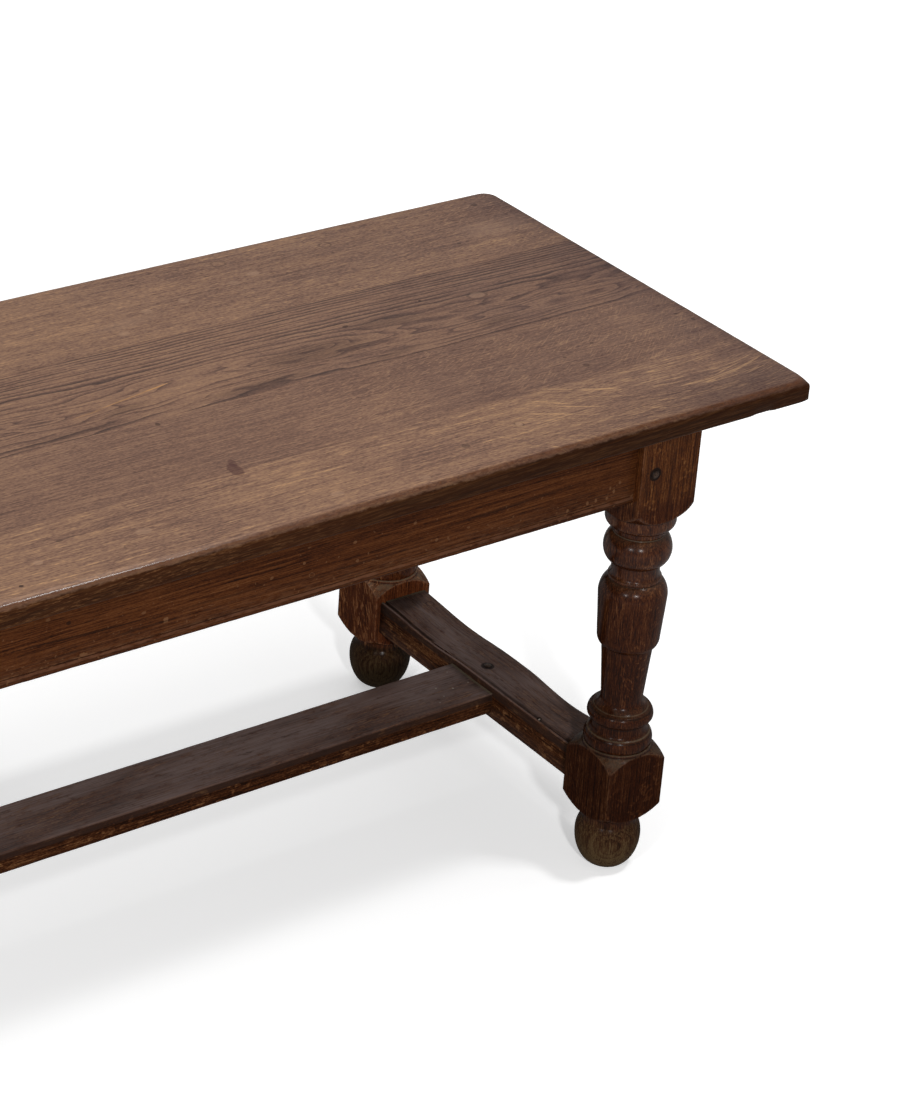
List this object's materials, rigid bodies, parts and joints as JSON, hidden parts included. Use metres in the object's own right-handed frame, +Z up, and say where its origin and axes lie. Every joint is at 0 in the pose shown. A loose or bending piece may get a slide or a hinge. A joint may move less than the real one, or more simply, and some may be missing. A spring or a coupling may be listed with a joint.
{
  "type": "coffee table",
  "caption": "Joined oak coffee table with a moulded plank top, turned legs, beaded rails and an H of low stretchers, held by wooden pegs.",
  "frame": {"origin": "on the floor under the middle of the top", "axes": "+X along the length of the top, +Y across it towards the back, +Z up"},
  "size_m": [1.22, 0.468, 0.482],
  "materials": {
    "top_oak": "worn wax polish over mid-brown stained oak",
    "leg_oak": "waxed dark-stained oak, arrises rubbed lighter",
    "rail_oak": "waxed dark reddish-brown oak",
    "stretcher_oak": "foot-worn, dusty wax polish",
    "peg_oak": "dark waxed end grain",
    "button_oak": "bare, unfinished oak"
  },
  "bodies": {
    "root": {"top_board_front": "top_oak", "top_board_front_inner": "top_oak", "top_board_back_inner": "top_oak", "top_board_back": "top_oak", "leg_front_left": "leg_oak", "leg_front_right": "leg_oak", "leg_back_left": "leg_oak", "leg_back_right": "leg_oak", "rail_front": "rail_oak", "rail_back": "rail_oak", "rail_left": "rail_oak", "rail_right": "rail_oak", "cross_stretcher_left": "stretcher_oak", "cross_stretcher_right": "stretcher_oak", "centre_stretcher": "stretcher_oak", "peg_long_rail_front_left": "peg_oak", "peg_long_rail_front_right": "peg_oak", "peg_long_rail_back_left": "peg_oak", "peg_long_rail_back_right": "peg_oak", "peg_end_rail_front_left": "peg_oak", "peg_end_rail_front_right": "peg_oak", "peg_end_rail_back_left": "peg_oak", "peg_end_rail_back_right": "peg_oak", "peg_cross_front_left": "peg_oak", "peg_cross_front_right": "peg_oak", "peg_cross_back_left": "peg_oak", "peg_cross_back_right": "peg_oak", "peg_centre_left": "peg_oak", "peg_centre_right": "peg_oak", "button_front_1": "button_oak", "button_front_2": "button_oak", "button_front_3": "button_oak", "button_back_1": "button_oak", "button_back_2": "button_oak", "button_back_3": "button_oak", "button_left_1": "button_oak", "button_left_2": "button_oak", "button_right_1": "button_oak", "button_right_2": "button_oak"}
  },
  "joints": []
}
